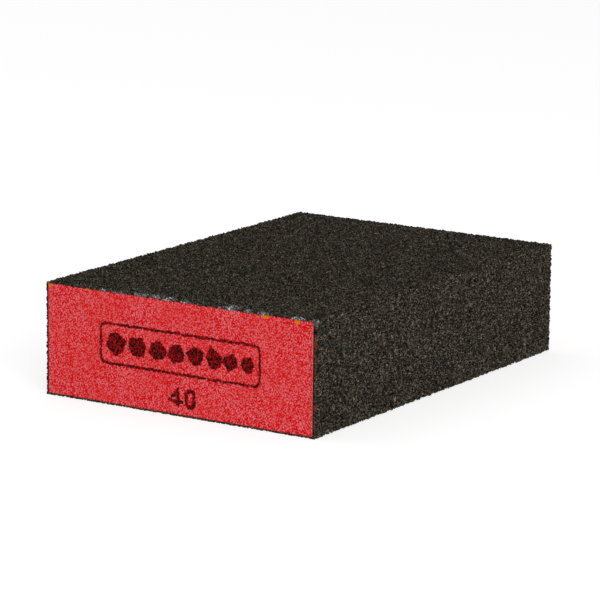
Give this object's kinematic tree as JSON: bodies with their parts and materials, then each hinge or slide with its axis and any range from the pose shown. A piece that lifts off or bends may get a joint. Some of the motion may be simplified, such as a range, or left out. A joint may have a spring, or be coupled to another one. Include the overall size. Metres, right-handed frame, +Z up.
{
  "type": "sanding block",
  "caption": "Rectangular foam sanding block with coarse abrasive bonded to its two broad faces and two long sides, and bare foam ends.",
  "frame": {"origin": "centre of the bottom coated face, on the surface that the block lies on", "axes": "+Z up from the bottom coated face to the top one; -Y out of the printed foam end, so the block's length runs along Y; +X to the right as the printed end is seen from the front"},
  "size_m": [0.0698, 0.1016, 0.0254],
  "materials": {
    "foam": "red flexible polyurethane foam, cut open at both ends, matt with fine open cells",
    "bond_resin": "dark flexible resin, satin where it shows at the cut ends",
    "abrasive_grain": "coarse black abrasive grain under a thin size coat, rough with small bright facets"
  },
  "bodies": {
    "root": {"foam_core": "foam", "bond_coat_top": "bond_resin", "bond_coat_bottom": "bond_resin", "bond_coat_left": "bond_resin", "bond_coat_right": "bond_resin", "grit_top": "abrasive_grain", "grit_bottom": "abrasive_grain", "grit_left": "abrasive_grain", "grit_right": "abrasive_grain"}
  },
  "joints": []
}
